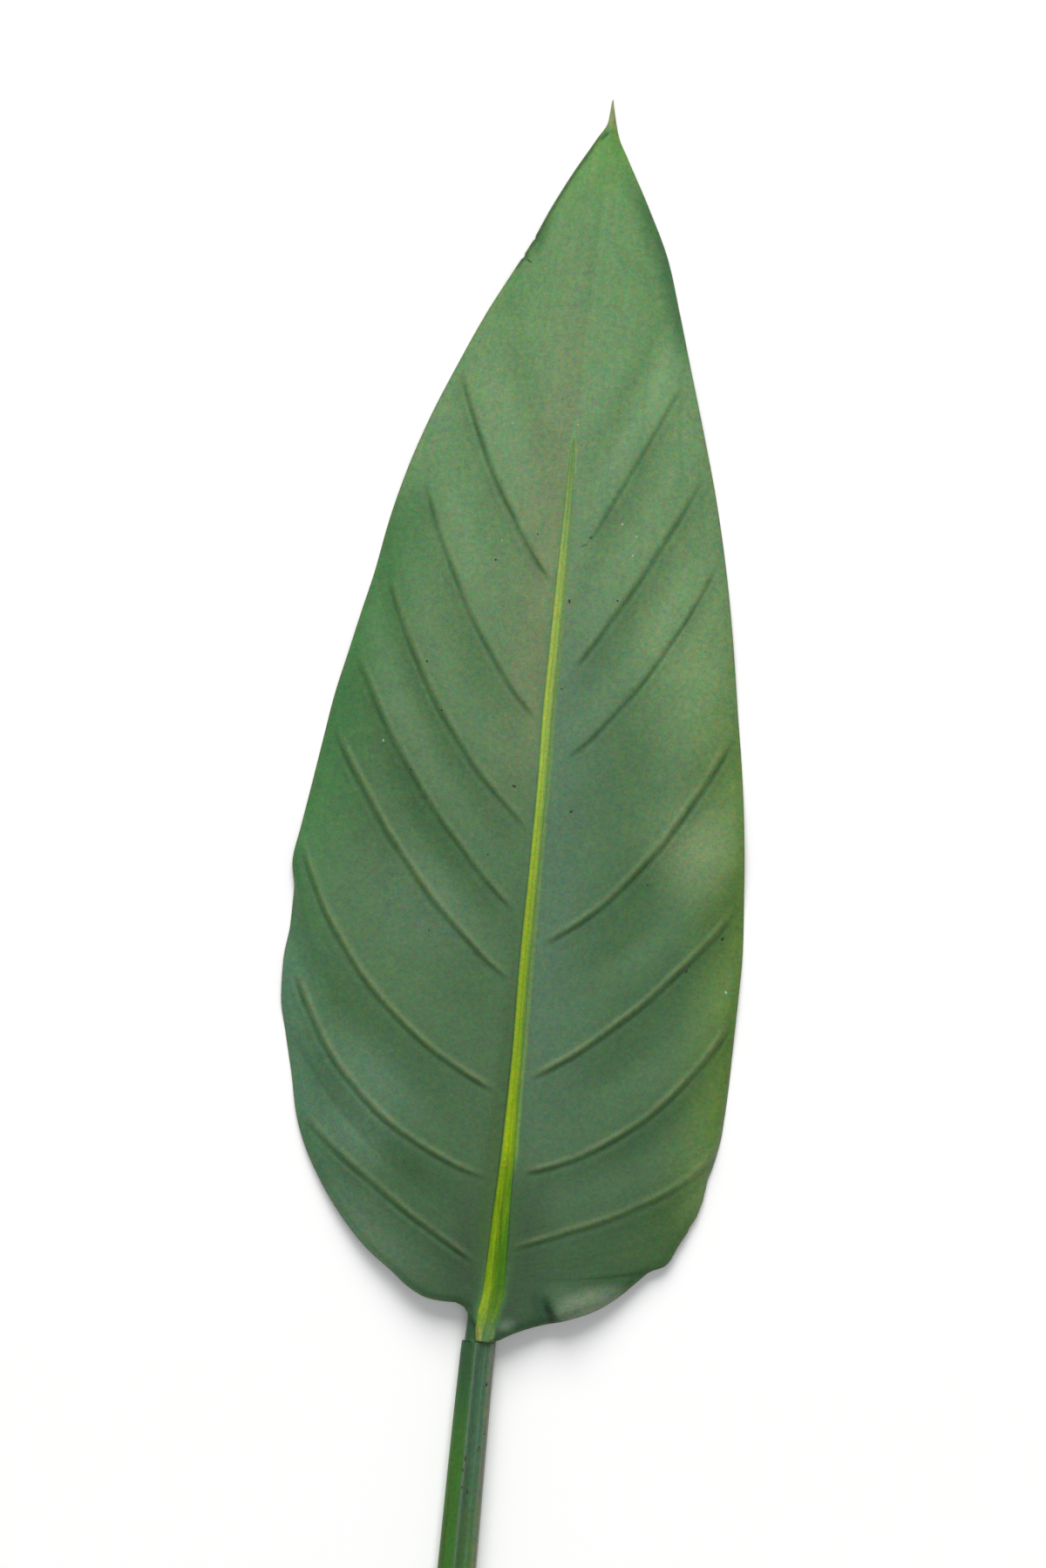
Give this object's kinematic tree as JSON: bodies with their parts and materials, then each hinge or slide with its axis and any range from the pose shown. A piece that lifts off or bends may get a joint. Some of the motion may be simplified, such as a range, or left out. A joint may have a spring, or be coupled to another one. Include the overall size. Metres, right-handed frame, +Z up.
{
  "type": "bird of paradise leaf",
  "caption": "Cut leaf on its stalk, lying face up: a long pointed blade with raised side veins, a waved margin and a pale grooved midrib.",
  "frame": {"origin": "on the surface that the leaf lies on, under the joint of stalk and blade, in the flat spot of the stalk's underside", "axes": "+Y along the leaf from the stalk to the tip, +Z up from the surface, the blade's upper face up"},
  "size_m": [0.147, 0.6405, 0.0149],
  "materials": {
    "blade": "satin",
    "midrib": "satin",
    "stalk": "satin"
  },
  "bodies": {
    "root": {"blade": "blade", "midrib": "midrib", "stalk": "stalk"}
  },
  "joints": []
}
